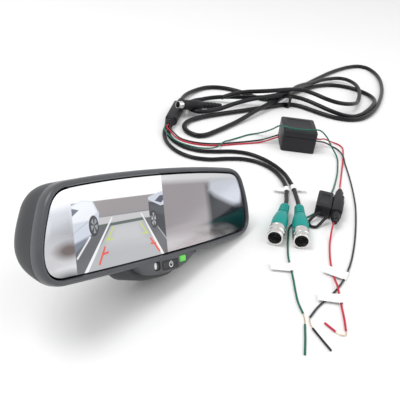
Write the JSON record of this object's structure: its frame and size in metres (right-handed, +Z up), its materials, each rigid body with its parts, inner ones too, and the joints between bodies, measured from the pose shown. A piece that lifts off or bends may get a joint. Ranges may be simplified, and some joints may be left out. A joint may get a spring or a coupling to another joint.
{
  "type": "rear-view mirror monitor with wiring harness",
  "caption": "Rear-view mirror with a built-in backup camera display, tilting windshield mount and unplugged harness with camera sockets, filter box and fuse holder.",
  "frame": {"origin": "on the surface, under the middle of the box of the mirror and its mount", "axes": "+X along the mirror's width, to its right end as the driver sees it; +Y away from the driver; +Z up"},
  "size_m": [0.8682, 0.3723, 0.1114],
  "materials": {
    "shell_plastic": "fine moulded texture, satin charcoal",
    "bezel_plastic": "fine texture, satin grey",
    "mirror_glass": "polished two-way mirror glass",
    "display": "lit display panel",
    "tray_metal": "pressed sheet",
    "circuit_board": "solder mask",
    "button_plastic": "satin key with a white power mark",
    "green_window": "lit translucent window",
    "smoked_window": "smoked clear window",
    "black_plastic": "moulded, light texture",
    "mount_metal": "zinc alloy",
    "mount_plastic": "moulded, satin",
    "screw_steel": "plated",
    "moulded_rubber": "overmoulded PVC",
    "cable_jacket": "smooth PVC jacket",
    "plated_ring": "nickel plated",
    "teal_moulding": "smooth overmould",
    "fuse_plastic": "translucent",
    "red_wire": "PVC insulation",
    "black_wire": "PVC insulation",
    "green_wire": "PVC insulation",
    "copper_wire": "tinned strand and enamelled winding",
    "label_paper": "white vinyl tape"
  },
  "bodies": {
    "mirror_head": {"front_bezel": "bezel_plastic", "rear_shell": "shell_plastic", "mirror_glass": "mirror_glass", "display_panel": "display", "backlight_tray": "tray_metal", "main_board": "circuit_board", "button_board": "circuit_board", "status_window": "green_window", "sensor_window": "smoked_window", "mirror_socket": "black_plastic", "socket_insert": "black_plastic", "pivot_cup": "shell_plastic", "junction_block": "moulded_rubber", "plug_shell": "plated_ring", "plug_pins": "black_plastic", "plug_grip": "moulded_rubber", "main_cable": "cable_jacket", "plug_cable": "cable_jacket", "cable_hank": "cable_jacket", "cable_tie": "black_plastic", "filter_base": "black_plastic", "filter_lid": "black_plastic", "filter_board": "circuit_board", "filter_choke": "copper_wire", "fuse_body": "moulded_rubber", "blade_fuse": "fuse_plastic", "fuse_tether": "moulded_rubber", "feed_red": "red_wire", "feed_black": "black_wire", "trigger_green": "green_wire", "power_red": "red_wire", "ground_black": "black_wire", "power_tail": "red_wire", "green_end": "copper_wire", "black_end": "copper_wire", "red_end": "copper_wire", "green_label": "label_paper", "ground_label": "label_paper", "power_label": "label_paper", "shell_screw_1": "screw_steel", "shell_screw_2": "screw_steel", "shell_screw_3": "screw_steel", "shell_screw_4": "screw_steel", "connector_grip_1": "teal_moulding", "connector_insert_1": "black_plastic", "camera_cable_1": "cable_jacket", "camera_label_1": "label_paper", "connector_grip_2": "teal_moulding", "connector_insert_2": "black_plastic", "camera_cable_2": "cable_jacket", "camera_label_2": "label_paper"},
    "power_button": {"power_button": "button_plastic"},
    "mount_arm": {"mount_arm": "mount_metal"},
    "windshield_foot": {"windshield_foot": "mount_plastic", "foot_screw": "screw_steel"},
    "connector_ring_1": {"connector_ring_1": "plated_ring"},
    "connector_ring_2": {"connector_ring_2": "plated_ring"},
    "fuse_cap": {"fuse_cap": "moulded_rubber"}
  },
  "joints": [
    {"name": "button_press", "type": "slide", "parent": "mirror_head", "child": "power_button", "axis": [0, 0.9003, -0.4352], "range_m": [0, 0.0008], "stiffness_N_per_m": 1500},
    {"name": "mirror_tilt", "type": "hinge", "parent": "mirror_head", "child": "mount_arm", "pos_m": [0.00483, 0.00143, 0.04116], "axis": [0.9563, -0.1273, -0.2632], "range_deg": [-18, 18]},
    {"name": "foot_swivel", "type": "hinge", "parent": "mount_arm", "child": "windshield_foot", "pos_m": [0.00483, 0.04088, 0.0175], "axis": [0, 0, 1], "range_deg": [-20, 20]},
    {"name": "socket_ring_1_turn", "type": "hinge", "parent": "mirror_head", "child": "connector_ring_1", "pos_m": [0.10975, -0.09642, 0.0084], "axis": [-0.9563, -0.2924, 0], "continuous": true},
    {"name": "socket_ring_2_turn", "type": "hinge", "parent": "mirror_head", "child": "connector_ring_2", "pos_m": [0.12225, -0.11838, 0.0084], "axis": [-0.8928, -0.4504, 0], "continuous": true},
    {"name": "fuse_cap_pull", "type": "slide", "parent": "mirror_head", "child": "fuse_cap", "axis": [-0.2951, 0.9555, 0], "range_m": [0, 0.008]}
  ]
}
